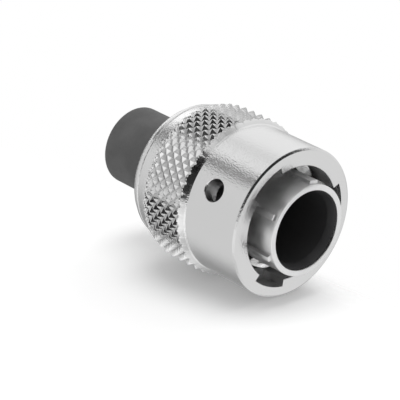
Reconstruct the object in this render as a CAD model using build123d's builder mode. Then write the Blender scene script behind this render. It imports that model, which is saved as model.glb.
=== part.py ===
from build123d import *
from math import ceil, cos, pi, radians, sin
import os

# Bayonet circular connector: a cable plug with a spring-loaded coupling nut.
# The axis is Z. The plug stands on the rim of its barrel, z = 0, and the cable leaves upwards.
# Sizes are millimetres. Angles are degrees from +X towards +Y, and the master key is on +Y.

os.makedirs("parts", exist_ok=True)

# Clearances
running_fit = 0.08  # radial play of turning metal on metal
seat_fit = 0.03  # radial play of pieces that are assembled once
groove_play = 0.04  # axial play of a ring in its groove

# Plug barrel, the open nose that enters the mating shell
barrel_r = 6.12
barrel_wall = 0.75
barrel_lead = 2.67  # barrel rim ahead of the coupling nut
rim_chamfer = 0.18
key_height = 0.46
key_width = 0.75
master_key_width = 1.35
master_key_angle = 90.0
key_angles = (20.5, -31.0, -109.0, 170.0)
key_setback = 0.45  # barrel rim to the front end of the keys

# Coupling nut, inside
mating_gap = 1.58  # room for the mating shell between barrel and nut
lug_count = 3
lug_groove_depth = 0.95
lug_groove_width = 2.90
lip_length = 1.30  # front lip ahead of the grooves
notch_angle = 45.5
notch_span = 36.0
lock_turn = 94.8  # turn from a notch to its sight hole
lock_depth = 5.40  # nut front to the sight holes
sight_hole_d = 3.00
lip_chamfer = 0.12
cutter_overlap = 1.0  # how far the cutters of the lug track stand inside the bore

# Coupling nut, outside
ring_wall = 1.40  # smooth ring over the lug grooves
ring_length = 9.28
grip_step = 0.85  # knurl crests over the smooth ring
grip_length = 5.33
rear_rim = 1.05  # wall of the nut at its rear end
front_edge = 0.35
rear_edge = 0.55
recess_gap = 0.40  # end nut to the wall of the rear recess
recess_depth = 5.87
recess_chamfer = 0.25

# Cross knurl
knurl_columns = 46
knurl_depth = 0.62
knurl_row = 0.76  # half of the pitch along the axis
blank_allowance = 0.10  # stock that the knurl takes off the crests
cutter_wall = 1.0

# Stack between the lug track and the rear of the nut
pin_to_gasket = 2.73  # locked lug to the gasket of the joint
gasket_thickness = 0.80
gasket_inset = 0.20
flange_thickness = 1.50
flange_play = 0.15
spring_height = 1.90
spring_strip = 0.28
spring_side_play = 0.15
spring_waves = 4
steps_per_wave = 12
thrust_washer_thickness = 0.50
web_thickness = 1.80

# Retaining ring of the coupling nut
retaining_ring_thickness = 0.90
retaining_groove_depth = 0.52
retaining_ring_width = 1.25
retaining_ring_gap = 2.20

# Insert stack inside the shell
cup_setback = 0.22
cup_wall = 0.42
insulator_body = 1.40  # contact face of the cup to the ledge
ledge_setback = 0.80  # front of the flange to the ledge inside
ledge_thickness = 1.00
ledge_step = 0.82
rear_step = 0.45
journal_wall = 1.37
rear_insulator_length = 3.20
insert_ring_thickness = 0.60
insert_groove_depth = 0.34
insert_ring_width = 0.80
insert_ring_gap = 1.60

# Contacts, one in the middle and the others round it
contact_circle_r = 2.90
outer_contacts = 5
pin_r = 0.51
pin_length = 2.70
tip_chamfer = 0.22
cup_r = 0.85
cup_length = 6.00
solder_bore_r = 0.55
solder_bore_depth = 2.00
contact_fit = 0.04

# Cable end
end_nut_gap = 0.40  # retaining ring to the end nut
thread_length = 2.90
thread_relief = 0.07
end_nut_wall = 0.66
end_nut_lip = 1.00
spanner_slots = 6
slot_width = 1.40
slot_reach = 0.70
slot_depth = 0.60
nose_length = 0.80  # ferrule nose that presses on the grommet
nose_wall = 1.07
ferrule_thickness = 0.80
ferrule_inset = 0.27
collar_thickness = 0.90
sleeve_r = 5.40
sleeve_wall = 1.90
sleeve_length = 10.44  # rubber sleeve behind its collar
sleeve_edge = 0.25
seal_width = 0.90
seal_setback = 0.45
seal_step = 0.45  # root of the seal's groove below the journal

# Radii that follow
barrel_bore_r = barrel_r - barrel_wall
nut_bore_r = barrel_r + mating_gap
ledge_bore_r = barrel_bore_r - ledge_step
rear_bore_r = ledge_bore_r + rear_step
journal_r = rear_bore_r + journal_wall
web_bore_r = journal_r + running_fit
flange_r = nut_bore_r - flange_play
gasket_r = flange_r - gasket_inset
retaining_groove_r = journal_r - retaining_groove_depth
insert_r = rear_bore_r - seat_fit
nose_bore_r = insert_r - nose_wall
ferrule_r = journal_r - ferrule_inset
sleeve_bore_r = sleeve_r - sleeve_wall
seal_groove_r = journal_r - seal_step
seal_r = seal_groove_r + seal_width
end_nut_bore_r = journal_r + thread_relief
end_nut_r = seal_r + end_nut_wall
recess_r = end_nut_r + recess_gap
lug_groove_r = nut_bore_r + lug_groove_depth
ring_r = lug_groove_r + ring_wall
crest_r = ring_r + grip_step
root_r = crest_r - knurl_depth
blank_r = crest_r + blank_allowance
taper_end_r = recess_r + rear_rim

# Places along the axis that follow
nut_front = barrel_lead
ring_end = nut_front + ring_length
grip_end = ring_end + grip_step + grip_length
lock_z = nut_front + lock_depth
gasket_front = lock_z + pin_to_gasket
flange_front = gasket_front + gasket_thickness
flange_back = flange_front + flange_thickness
washer_front = flange_back + spring_height
web_front = washer_front + thrust_washer_thickness
web_back = web_front + web_thickness
nut_end = web_back + recess_depth
taper_length = nut_end - grip_end
retaining_back = web_back + retaining_ring_thickness
end_nut_front = retaining_back + end_nut_gap
ledge_front = flange_front + ledge_setback
ledge_back = ledge_front + ledge_thickness
insert_face = ledge_front - insulator_body
rear_insulator_end = ledge_back + rear_insulator_length
insert_ring_end = rear_insulator_end + insert_ring_thickness
shell_end = end_nut_front + thread_length
grommet_end = shell_end - nose_length
ferrule_end = shell_end + ferrule_thickness
collar_end = ferrule_end + collar_thickness
end_nut_end = collar_end + end_nut_lip
sleeve_end = collar_end + sleeve_length

# Each contact's letter and its place seen along the axis
contact_places = {"f": (0.0, 0.0)}
for number in range(outer_contacts):
    place_angle = radians(master_key_angle + 360 * number / outer_contacts)
    place = (contact_circle_r * cos(place_angle), contact_circle_r * sin(place_angle))
    contact_places["abcde"[number]] = place


def radial_plane(angle, z, distance):
    """Plane that faces outwards at an angle, at a height and a distance from the axis."""
    outwards = Vector(cos(radians(angle)), sin(radians(angle)), 0)
    return Plane(origin=outwards * distance + Vector(0, 0, z), z_dir=outwards)


def profile(points, centre=(0, 0)):
    """Closed half section of a turned piece, from its (radius, z) points beside its own axis."""
    with BuildSketch(Plane(origin=(*centre, 0), x_dir=(1, 0, 0), z_dir=(0, -1, 0))) as section:
        with BuildLine():
            Polyline(*points, close=True)
        make_face()
    return section.sketch


def annulus(outer_r, inner_r, z):
    """Flat ring between two radii, at a height."""
    with BuildSketch(Plane.XY.offset(z)) as section:
        Circle(outer_r)
        Circle(inner_r, mode=Mode.SUBTRACT)
    return section.sketch


def strip_wall(ends):
    """Two triangles between the first pair of points and the next, both pairs taken in order."""
    (first, second), (next_first, next_second) = ends
    return [
        Face(Wire.make_polygon([first, next_first, next_second])),
        Face(Wire.make_polygon([first, next_second, second])),
    ]


# Cross knurl: grooves cross on the even points of a lattice, and crests stand on the odd ones.
# The lattice runs from the front step to where the rear taper has dropped below the grooves.
taper_slope = (crest_r - taper_end_r) / taper_length
knurl_fade = grip_end + (knurl_depth + blank_allowance) / taper_slope
knurl_rows = ceil((knurl_fade - ring_end) / knurl_row)
knurl_back = ring_end + knurl_rows * knurl_row
lattice_columns = 2 * knurl_columns


def knurl_point(column, row):
    """Lattice point of the knurl, low in the grooves and high on the crests."""
    radius = crest_r if (column + row) % 2 else root_r
    angle = 2 * pi * (column % lattice_columns) / lattice_columns
    return Vector(radius * cos(angle), radius * sin(angle), ring_end + row * knurl_row)


def knurl_cell(column, row):
    """Two flanks between four neighbouring lattice points, split along the groove."""
    corners = [
        knurl_point(column, row),
        knurl_point(column + 1, row),
        knurl_point(column + 1, row + 1),
        knurl_point(column, row + 1),
    ]
    groove = (0, 2) if (column + row) % 2 == 0 else (1, 3)
    crests = [index for index in range(4) if index not in groove]
    return [
        Face(Wire.make_polygon([corners[groove[0]], corners[groove[1]], corners[crest]]))
        for crest in crests
    ]


def knurl_cap(row):
    """Flat end of the knurling cutter, from the lattice out to its rim."""
    rim = Wire.make_circle(blank_r + cutter_wall, Plane.XY.offset(ring_end + row * knurl_row))
    teeth = Wire.make_polygon([knurl_point(column, row) for column in range(lattice_columns)])
    return Face(rim, [teeth])


knurl_faces = [knurl_cap(0), knurl_cap(knurl_rows)]
for knurl_row_number in range(knurl_rows):
    for knurl_column in range(lattice_columns):
        knurl_faces += knurl_cell(knurl_column, knurl_row_number)
cutter_rim = Wire.make_circle(blank_r + cutter_wall, Plane.XY.offset(ring_end))
knurl_faces.append(Shell.extrude(cutter_rim, (0, 0, knurl_back - ring_end)).faces()[0])
knurl_cutter = Solid(Shell(knurl_faces))

# Cutter of one helical groove that draws a lug in, from the middle of its notch to its sight hole
groove_start = nut_front + lip_length + lug_groove_width / 2
groove_rise = lock_z - groove_start
groove_width_r = lug_groove_depth + cutter_overlap
with BuildPart() as groove_cutter:
    with BuildLine() as track:
        Helix(groove_rise * 360 / lock_turn, groove_rise, lug_groove_r - groove_width_r / 2)
    with BuildSketch(Plane(origin=track.line @ 0, x_dir=(1, 0, 0), z_dir=track.line % 0)):
        Rectangle(groove_width_r, lug_groove_width)
    sweep(path=track.line, is_frenet=True)

# Coupling nut, turned from one bar, knurled, and cut inside for the three bayonet lugs
with BuildPart() as coupling_nut:
    step_end = ring_end + blank_r - ring_r
    taper_start = grip_end - blank_allowance / taper_slope
    revolve(
        profile(
            [
                (nut_bore_r, nut_front),
                (ring_r, nut_front),
                (ring_r, ring_end),
                (blank_r, step_end),
                (blank_r, taper_start),
                (taper_end_r, nut_end),
                (recess_r, nut_end),
                (recess_r, web_back),
                (web_bore_r, web_back),
                (web_bore_r, web_front),
                (nut_bore_r, web_front),
            ]
        ),
        axis=Axis.Z,
    )
    rims = coupling_nut.edges().filter_by(GeomType.CIRCLE)
    front_rims = rims.group_by(Axis.Z)[0].sort_by(SortBy.RADIUS)
    rear_rims = rims.group_by(Axis.Z)[-1].sort_by(SortBy.RADIUS)
    chamfer(front_rims[-1], front_edge)
    chamfer(front_rims[0], lip_chamfer)
    chamfer(rear_rims[-1], rear_edge)
    chamfer(rear_rims[0], recess_chamfer)

    # Entry notches in the lip, as deep as the near end of the grooves
    with BuildSketch(Plane.XY.offset(nut_front)):
        for lug in range(lug_count):
            middle = notch_angle + 360 * lug / lug_count
            with BuildLine():
                first = middle - notch_span / 2
                outer = CenterArc((0, 0), lug_groove_r, first, notch_span)
                inner = CenterArc((0, 0), nut_bore_r - cutter_overlap, first, notch_span)
                Line(outer @ 0, inner @ 0)
                Line(outer @ 1, inner @ 1)
            make_face()
    extrude(amount=lip_length + lug_groove_width, mode=Mode.SUBTRACT)

    # Each groove ends under its sight hole
    for lug in range(lug_count):
        middle = notch_angle + 360 * lug / lug_count
        add(
            groove_cutter.part.moved(Location((0, 0, groove_start), (0, 0, middle))),
            mode=Mode.SUBTRACT,
        )
        hole_depth = ring_r - nut_bore_r + 2 * cutter_overlap
        with BuildSketch(radial_plane(middle + lock_turn, lock_z, nut_bore_r - cutter_overlap)):
            Circle(sight_hole_d / 2)
        extrude(amount=hole_depth, mode=Mode.SUBTRACT)

    add(knurl_cutter, mode=Mode.SUBTRACT)
coupling_nut.part.label = "coupling_nut"
export_step(coupling_nut.part, "parts/coupling_nut.step")

# Plug shell, turned in one piece: keyed barrel, flange, journal, ring grooves and rear thread
with BuildPart() as plug_shell:
    revolve(
        profile(
            [
                (barrel_bore_r, 0),
                (barrel_r, 0),
                (barrel_r, flange_front),
                (flange_r, flange_front),
                (flange_r, flange_back),
                (journal_r, flange_back),
                (journal_r, shell_end),
                (rear_bore_r, shell_end),
                (rear_bore_r, ledge_back),
                (ledge_bore_r, ledge_back),
                (ledge_bore_r, ledge_front),
                (barrel_bore_r, ledge_front),
            ]
        ),
        axis=Axis.Z,
    )
    rims = plug_shell.edges().filter_by(GeomType.CIRCLE)
    chamfer(rims.group_by(Axis.Z)[0], rim_chamfer)
    with BuildSketch(Plane.XY.offset(key_setback)):
        key_reach = barrel_r - barrel_bore_r + key_height
        for angle in (master_key_angle, *key_angles):
            width = master_key_width if angle == master_key_angle else key_width
            out = barrel_bore_r + key_reach / 2
            key_place = Location((out * cos(radians(angle)), out * sin(radians(angle))), angle)
            with Locations(key_place):
                Rectangle(key_reach, width)
        Circle(barrel_r + key_height, mode=Mode.INTERSECT)
        Circle((barrel_bore_r + barrel_r) / 2, mode=Mode.SUBTRACT)
    extrude(amount=gasket_front - key_setback)
    for groove_bottom_r, groove_front, groove_width in (
        (retaining_groove_r, web_back - groove_play, retaining_ring_thickness + 2 * groove_play),
        (seal_groove_r, end_nut_front + seal_setback, seal_width + 2 * groove_play),
    ):
        with BuildSketch(Plane.XY.offset(groove_front)):
            Circle(journal_r + groove_play)
            Circle(groove_bottom_r, mode=Mode.SUBTRACT)
        extrude(amount=groove_width, mode=Mode.SUBTRACT)
    with BuildSketch(Plane.XY.offset(rear_insulator_end - groove_play)):
        Circle(rear_bore_r + insert_groove_depth)
    extrude(amount=insert_ring_thickness + 2 * groove_play, mode=Mode.SUBTRACT)
plug_shell.part.label = "plug_shell"
export_step(plug_shell.part, "parts/plug_shell.step")

# Flat rubber gasket that the rim of the mating shell presses on
with BuildPart() as joint_gasket:
    extrude(annulus(gasket_r, barrel_r + seat_fit, gasket_front), amount=gasket_thickness)
joint_gasket.part.label = "joint_gasket"
export_step(joint_gasket.part, "parts/joint_gasket.step")

# Wave washer between the flange and the coupling nut
wave_steps = steps_per_wave * spring_waves
wave_height = (spring_height - spring_strip) / 2
spring_inner_r = web_bore_r + spring_side_play
spring_outer_r = flange_r - spring_side_play


def spring_point(step, radius, lift):
    """Point on one of the four edges of the waved strip."""
    angle = 2 * pi * (step % wave_steps) / wave_steps
    wave = wave_height * sin(spring_waves * angle)
    height = flange_back + spring_height / 2 + wave + lift
    return Vector(radius * cos(angle), radius * sin(angle), height)


strip_corners = [
    (spring_inner_r, -spring_strip / 2),
    (spring_outer_r, -spring_strip / 2),
    (spring_outer_r, spring_strip / 2),
    (spring_inner_r, spring_strip / 2),
]
spring_faces = []
for step in range(wave_steps):
    for side in range(4):
        near, far = strip_corners[side], strip_corners[(side + 1) % 4]
        ends = [(spring_point(end, *near), spring_point(end, *far)) for end in (step, step + 1)]
        spring_faces += strip_wall(ends)
with BuildPart() as wave_spring:
    add(Solid(Shell(spring_faces)))
wave_spring.part.label = "wave_spring"
export_step(wave_spring.part, "parts/wave_spring.step")

# Thrust washer that the spring presses on the web of the coupling nut
with BuildPart() as thrust_washer:
    extrude(annulus(flange_r, web_bore_r, washer_front), amount=thrust_washer_thickness)
thrust_washer.part.label = "thrust_washer"
export_step(thrust_washer.part, "parts/thrust_washer.step")


def split_annulus(inner_r, width, z, gap):
    """Outline of a snap ring, with its gap on the side away from the master key."""
    with BuildSketch(Plane.XY.offset(z)) as section:
        Circle(inner_r + width)
        Circle(inner_r, mode=Mode.SUBTRACT)
        with Locations((0, -inner_r - width / 2)):
            Rectangle(gap, 2 * width, mode=Mode.SUBTRACT)
    return section.sketch


# Snap ring on the shell that holds the coupling nut
with BuildPart() as retaining_ring:
    retaining_ring_inner_r = retaining_groove_r + seat_fit
    extrude(
        split_annulus(retaining_ring_inner_r, retaining_ring_width, web_back, retaining_ring_gap),
        amount=retaining_ring_thickness,
    )
retaining_ring.part.label = "retaining_ring"
export_step(retaining_ring.part, "parts/retaining_ring.step")

# Black front insulator: a cup whose skirt lines the barrel, with a spigot through the ledge
with BuildPart() as front_insulator:
    lining_r = barrel_bore_r - seat_fit
    revolve(
        profile(
            [
                (0, insert_face),
                (lining_r - cup_wall, insert_face),
                (lining_r - cup_wall, cup_setback),
                (lining_r, cup_setback),
                (lining_r, ledge_front),
                (ledge_bore_r - seat_fit, ledge_front),
                (ledge_bore_r - seat_fit, ledge_back),
                (0, ledge_back),
            ]
        ),
        axis=Axis.Z,
    )
    with BuildSketch(Plane.XY.offset(insert_face)):
        with Locations(*contact_places.values()):
            Circle(pin_r + contact_fit)
    extrude(amount=ledge_back - insert_face, mode=Mode.SUBTRACT)
front_insulator.part.label = "front_insulator"
export_step(front_insulator.part, "parts/front_insulator.step")

# Rear insulator, which holds the shoulders of the contacts against the front one
with BuildPart() as rear_insulator:
    with BuildSketch(Plane.XY.offset(ledge_back)):
        Circle(insert_r)
    extrude(amount=rear_insulator_length)
    with BuildSketch(Plane.XY.offset(ledge_back)):
        with Locations(*contact_places.values()):
            Circle(cup_r + contact_fit)
    extrude(amount=rear_insulator_length, mode=Mode.SUBTRACT)
rear_insulator.part.label = "rear_insulator"
export_step(rear_insulator.part, "parts/rear_insulator.step")

# Snap ring in the shell that holds the insulators against the ledge
with BuildPart() as insert_ring:
    insert_ring_inner_r = rear_bore_r + insert_groove_depth - seat_fit - insert_ring_width
    extrude(
        split_annulus(insert_ring_inner_r, insert_ring_width, rear_insulator_end, insert_ring_gap),
        amount=insert_ring_thickness,
    )
insert_ring.part.label = "insert_ring"
export_step(insert_ring.part, "parts/insert_ring.step")

# Rubber grommet that seals on each wire
with BuildPart() as grommet:
    with BuildSketch(Plane.XY.offset(insert_ring_end)):
        Circle(insert_r)
    extrude(amount=grommet_end - insert_ring_end)
    with BuildSketch(Plane.XY.offset(insert_ring_end)):
        with Locations(*contact_places.values()):
            Circle(cup_r + contact_fit)
    extrude(amount=grommet_end - insert_ring_end, mode=Mode.SUBTRACT)
grommet.part.label = "grommet"
export_step(grommet.part, "parts/grommet.step")

# Pin contacts, each held at its shoulder, with a chamfered tip and a solder cup
pin_tip = insert_face - pin_length
cup_end = ledge_back + cup_length
for letter, centre in contact_places.items():
    with BuildPart() as contact:
        revolve(
            profile(
                [
                    (0, pin_tip),
                    (pin_r - tip_chamfer, pin_tip),
                    (pin_r, pin_tip + tip_chamfer),
                    (pin_r, ledge_back),
                    (cup_r, ledge_back),
                    (cup_r, cup_end),
                    (solder_bore_r, cup_end),
                    (solder_bore_r, cup_end - solder_bore_depth),
                    (0, cup_end - solder_bore_depth),
                ],
                centre,
            ),
            axis=Axis((*centre, 0), (0, 0, 1)),
        )
    contact.part.label = f"contact_{letter}"
    export_step(contact.part, f"parts/contact_{letter}.step")

# Ferrule that presses on the grommet and seats on the rear end of the shell
with BuildPart() as ferrule:
    revolve(
        profile(
            [
                (nose_bore_r, grommet_end),
                (insert_r, grommet_end),
                (insert_r, shell_end),
                (ferrule_r, shell_end),
                (ferrule_r, ferrule_end),
                (nose_bore_r, ferrule_end),
            ]
        ),
        axis=Axis.Z,
    )
ferrule.part.label = "ferrule"
export_step(ferrule.part, "parts/ferrule.step")

# Rubber sleeve for the cable, held by its collar
with BuildPart() as rubber_sleeve:
    revolve(
        profile(
            [
                (sleeve_bore_r, ferrule_end),
                (ferrule_r, ferrule_end),
                (ferrule_r, collar_end),
                (sleeve_r, collar_end),
                (sleeve_r, sleeve_end),
                (sleeve_bore_r, sleeve_end),
            ]
        ),
        axis=Axis.Z,
    )
    rear_rims = rubber_sleeve.edges().filter_by(GeomType.CIRCLE).group_by(Axis.Z)[-1]
    chamfer(rear_rims.sort_by(SortBy.RADIUS)[-1], sleeve_edge)
rubber_sleeve.part.label = "rubber_sleeve"
export_step(rubber_sleeve.part, "parts/rubber_sleeve.step")

# End nut that screws on the shell and clamps the ferrule and the sleeve
with BuildPart() as end_nut:
    seal_end = end_nut_front + seal_setback + seal_width + 2 * groove_play
    revolve(
        profile(
            [
                (seal_r, end_nut_front),
                (end_nut_r, end_nut_front),
                (end_nut_r, end_nut_end),
                (sleeve_r + seat_fit, end_nut_end),
                (sleeve_r + seat_fit, collar_end),
                (end_nut_bore_r, collar_end),
                (end_nut_bore_r, seal_end),
                (seal_r, seal_end),
            ]
        ),
        axis=Axis.Z,
    )
    with BuildSketch(Plane.XY.offset(end_nut_end)):
        with PolarLocations(end_nut_r, spanner_slots):
            Rectangle(2 * slot_reach, slot_width)
    extrude(amount=-slot_depth, mode=Mode.SUBTRACT)
end_nut.part.label = "end_nut"
export_step(end_nut.part, "parts/end_nut.step")

# Square rubber ring that seals the end nut on the shell
with BuildPart() as seal_ring:
    seal_front = end_nut_front + seal_setback + groove_play
    extrude(annulus(seal_r - seat_fit, seal_groove_r + seat_fit, seal_front), amount=seal_width)
seal_ring.part.label = "seal_ring"
export_step(seal_ring.part, "parts/seal_ring.step")
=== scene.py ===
from math import asin, cos, pi, radians, sin

import bmesh
import bpy
from bpy.props import FloatProperty, FloatVectorProperty, IntProperty, PointerProperty
from mathutils import Euler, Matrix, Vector


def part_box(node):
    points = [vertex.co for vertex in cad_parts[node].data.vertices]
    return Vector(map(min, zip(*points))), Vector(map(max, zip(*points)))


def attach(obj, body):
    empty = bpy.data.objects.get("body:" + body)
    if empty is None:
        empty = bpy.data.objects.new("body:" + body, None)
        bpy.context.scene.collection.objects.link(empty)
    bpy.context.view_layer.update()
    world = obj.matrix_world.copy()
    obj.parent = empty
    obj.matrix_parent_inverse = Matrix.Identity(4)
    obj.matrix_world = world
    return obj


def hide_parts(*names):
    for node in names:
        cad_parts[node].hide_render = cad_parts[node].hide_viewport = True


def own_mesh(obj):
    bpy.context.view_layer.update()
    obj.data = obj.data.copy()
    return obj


# Bayonet circular connector: a cable plug with a knurled coupling nut.
# The axis is Z and the plug stands on the rim of its barrel. Everything is in metres.

bl_info = {
    "name": "Bayonet Circular Connector",
    "version": (1, 0, 0),
    "blender": (4, 5, 0),
    "location": "View3D > Sidebar > Connector",
    "description": "Builds a cable plug with a knurled bayonet coupling nut",
    "category": "Add Mesh",
}

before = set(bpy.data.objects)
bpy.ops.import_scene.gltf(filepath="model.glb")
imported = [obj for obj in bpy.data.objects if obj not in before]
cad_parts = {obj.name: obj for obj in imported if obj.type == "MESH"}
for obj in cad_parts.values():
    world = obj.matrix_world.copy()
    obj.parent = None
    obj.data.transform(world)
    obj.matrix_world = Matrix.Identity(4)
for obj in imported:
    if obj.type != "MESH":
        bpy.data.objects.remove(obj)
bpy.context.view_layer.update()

MM = 0.001


def linear(hex_colour):
    """Linear RGBA of an sRGB colour written as six hex digits."""
    shades = [int(hex_colour[start : start + 2], 16) / 255 for start in (0, 2, 4)]
    return [s / 12.92 if s <= 0.04045 else ((s + 0.055) / 1.055) ** 2.4 for s in shades] + [1.0]


def length(label, description, millimetres):
    """A length that the user can change."""
    return FloatProperty(
        name=label,
        description=description,
        default=millimetres * MM,
        min=0.0,
        unit="LENGTH",
        precision=5,
    )


def colour(label, description, hex_colour):
    """A colour that the user can change."""
    return FloatVectorProperty(
        name=label,
        description=description,
        default=linear(hex_colour),
        min=0.0,
        max=1.0,
        size=4,
        subtype="COLOR",
    )


class NutSettings(bpy.types.PropertyGroup):
    ring_radius: length("Ring Radius", "Outside of the smooth ring at the front", 10.05)
    web_front: length("Web Front", "Height at which the inner web starts", 15.50)
    web_back: length("Web Back", "Height at which the inner web ends", 17.30)
    web_bore: length("Web Bore", "Radius of the hole through the web", 6.45)
    recess: length("Recess", "Radius of the recess behind the web", 7.88)
    ring_end: length("Ring End", "Height at which the step to the grip starts", 11.65)
    step: length("Step", "Length of the step from the ring to the grip", 1.10)
    knurl_start: length("Knurl Start", "Height of the first row of crests", 12.45)
    crest_radius: length("Crest Radius", "Outside of the knurl", 10.90)
    crest_flat: length("Crest Flat", "Height that handling has taken off the crests", 0.03)
    grip_end: length("Grip End", "Height at which the rear taper starts", 18.13)
    knurl_fade: length("Knurl Fade", "Length of the taper on which the knurl runs out", 1.40)
    taper_radius: length("Taper Radius", "Outside of the nut at its rear end", 8.93)
    front_edge: length("Front Edge", "Bevel of the ring's front edge", 0.29)
    rear_round: length("Rear Rounding", "Rounding of the rear edge", 0.28)
    lip: length("Lip", "Metal in front of the bayonet grooves", 1.30)
    bead: length("Bead", "Height at which the bead of the rear edge starts", 21.62)
    knurl_columns: IntProperty(
        name="Knurl Columns", description="Crests round the grip", default=46, min=8
    )
    knurl_row: length("Knurl Row", "Half of the knurl's pitch along the axis", 0.76)
    knurl_depth: length("Knurl Depth", "Depth of the knurl's grooves", 0.62)
    bore_radius: length("Bore Radius", "Bore of the front lip", 7.70)
    track_radius: length("Track Radius", "Floor of the bayonet grooves", 8.65)
    track_width: length("Track Width", "Width of the bayonet grooves", 2.90)
    lock_height: length("Lock Height", "Height of the sight holes", 8.07)
    sight_hole: length("Sight Hole", "Diameter of the sight holes", 3.00)
    nickel: colour("Satin Nickel", "Plating of the coupling nut", "e2e2e2")


class ShellSettings(bpy.types.PropertyGroup):
    barrel_radius: length("Barrel Radius", "Outside of the barrel", 6.12)
    barrel_bore: length("Barrel Bore", "Radius inside the barrel", 5.37)
    rim_round: length("Rim Rounding", "Rounding of the barrel's rim", 0.08)
    key_height: length("Key Height", "How far the keys stand out of the barrel", 0.46)
    key_width: length("Key Width", "Width of the four narrow keys", 0.75)
    master_key_width: length("Master Key Width", "Width of the wide key", 1.35)
    key_setback: length("Key Setback", "Front end of the keys behind the rim", 0.45)
    journal_radius: length("Journal Radius", "Outside of the rear body", 6.37)
    thread_pitch: length("Thread Pitch", "Pitch of the rear thread", 0.50)
    thread_depth: length("Thread Depth", "Depth of the rear thread", 0.25)
    nickel: colour("Bright Nickel", "Plating of the shell and the ferrule", "f0f0f0")


class InsertSettings(bpy.types.PropertyGroup):
    skirt: length("Skirt", "Wall of the insulator's skirt", 0.42)
    lead_in: length("Lead-in", "Length of the cone at the mouth of the skirt", 1.20)
    pin_radius: length("Pin Radius", "Radius of the pins", 0.51)
    cup_radius: length("Cup Radius", "Outside of the solder cups", 0.85)
    black: colour("Insulator", "Moulded insulator", "404041")
    gold: colour("Gold", "Plating of the contacts", "d9b36a")
    steel: colour("Spring Steel", "Snap rings and washers", "a9abad")
    seal: colour("Seal Rubber", "Gasket and seal ring", "343434")


class CableEndSettings(bpy.types.PropertyGroup):
    sleeve_radius: length("Sleeve Radius", "Outside of the rubber sleeve", 5.40)
    sleeve_bore: length("Sleeve Bore", "Radius of the cable's passage", 3.50)
    sleeve_round: length("Sleeve Rounding", "Rounding of the sleeve's rear edge", 0.30)
    collar: length("Collar", "Height at which the clamped collar ends", 23.20)
    slot_width: length("Slot Width", "Width of the spanner slots", 1.40)
    slot_depth: length("Slot Depth", "Depth of the spanner slots", 0.60)
    rubber: colour("Rubber", "Cable sleeve and wire seal", "646464")


class StageSettings(bpy.types.PropertyGroup):
    camera_place: FloatVectorProperty(
        name="Camera Place",
        description="Where the camera stands",
        default=(0.182534, 0.081916, -0.161750),
        size=3,
        subtype="TRANSLATION",
        unit="LENGTH",
    )
    camera_turn: FloatVectorProperty(
        name="Camera Turn",
        description="How the camera is turned",
        default=(2.672648, 0.722461, 2.923057),
        size=3,
        subtype="EULER",
        unit="ROTATION",
    )
    lens: FloatProperty(
        name="Lens", description="Focal length", default=184.84, min=1.0, unit="CAMERA"
    )
    ambient: FloatProperty(
        name="Ambient", description="Light from all round", default=0.60, min=0.0
    )
    key_light: FloatProperty(
        name="Key Light", description="Strength of the key lamp", default=0.9, min=0.0
    )
    paper: colour("Paper", "Floor under the connector", "fbfbfb")


SETTINGS = {
    "connector_nut": NutSettings,
    "connector_shell": ShellSettings,
    "connector_insert": InsertSettings,
    "connector_cable_end": CableEndSettings,
    "connector_stage": StageSettings,
}

# Angles from +X towards +Y in degrees, as in the CAD model
KEY_ANGLES = (90.0, 20.5, -31.0, -109.0, 170.0)  # the master key first
NOTCH_ANGLES = (45.5, 165.5, 285.5)
NOTCH_SPAN = 36.0
LOCK_TURN = 94.8  # turn from a notch to its sight hole
CONTACTS = [f"contact_{letter}" for letter in "abcdef"]
EDGE = 0.10 * MM  # rounding of an edge that is only broken
OVERLAP = MM  # how far a cutter stands clear of what it cuts
KNURL_FIRST_PRESS = 0.6  # share of the knurl's depth where its grooves start
SPANNER_SLOTS = 6
SPRING_WAVES = 4

# How finely the meshes are divided
TURNED_SIDES, BARREL_SIDES, SPRING_SIDES = 192, 216, 128
PIN_SIDES, DRILL_SIDES, SIGHT_HOLE_SIDES = 48, 36, 56
TRACK_STEPS, NOTCH_STEPS = 48, 24
KNURL_CELL_STEPS = 5  # steps of mesh in half of the knurl's pitch, along the axis and round it
THREAD_ROW = 0.04 * MM  # height of one row of a thread's mesh
CREASE = radians(32.0)  # an edge that bends by more is shaded sharp

SOFT = {"interpolation_type": "SMOOTHSTEP"}  # for ranges that start and end gently

PHOTO_FLOOR = Vector((0.1427, 0.9863, 0.0850)).normalized()  # the way up in the photo
PHOTO_FLOOR_DROP = 9.80 * MM  # from the axis down to the floor that the plug lies on
PHOTO_FLOOR_FADE = (-11 * MM, -3 * MM)  # where that floor is gone, and where it is whole, in X
PAPER_GLOW = 1.14  # what the camera sees of bare paper: white, with a margin for soft shadow
FLOOR_REACH = 1.6
LAMP_DISTANCE = 0.4

# The lamps, as (name, direction, share of the key lamp, spread in degrees)
LAMPS = (
    ("key lamp", PHOTO_FLOOR, 1.0, 42.0),
    ("side lamp", Vector((-0.791, 0.605, 0.091)), 0.6, 40.0),
    ("top lamp", Vector((0.30, -0.35, 0.88)), 0.5, 70.0),
)

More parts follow.
